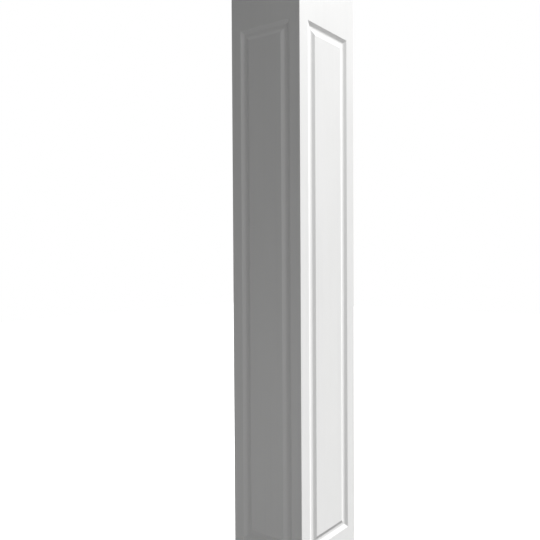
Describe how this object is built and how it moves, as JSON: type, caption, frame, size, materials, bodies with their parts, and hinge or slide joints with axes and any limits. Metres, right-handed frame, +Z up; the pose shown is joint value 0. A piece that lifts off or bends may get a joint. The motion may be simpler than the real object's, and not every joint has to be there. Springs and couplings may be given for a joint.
{
  "type": "column wrap",
  "caption": "Square hollow column wrap of boards mitred at the corners, each face with a tall raised panel inside a routed groove, open at both ends for a post.",
  "frame": {"origin": "middle of the underside of the wrap, level with the floor it stands on", "axes": "+Z up along the column; the front board faces -Y and the right board faces +X"},
  "size_m": [0.3048, 0.3048, 2.4384],
  "materials": {
    "cellular_pvc": "white cellular PVC, smooth satin-matte factory skin, milled groove a little more matte"
  },
  "bodies": {
    "root": {"front_board": "cellular_pvc", "right_board": "cellular_pvc", "back_board": "cellular_pvc", "left_board": "cellular_pvc"}
  },
  "joints": []
}
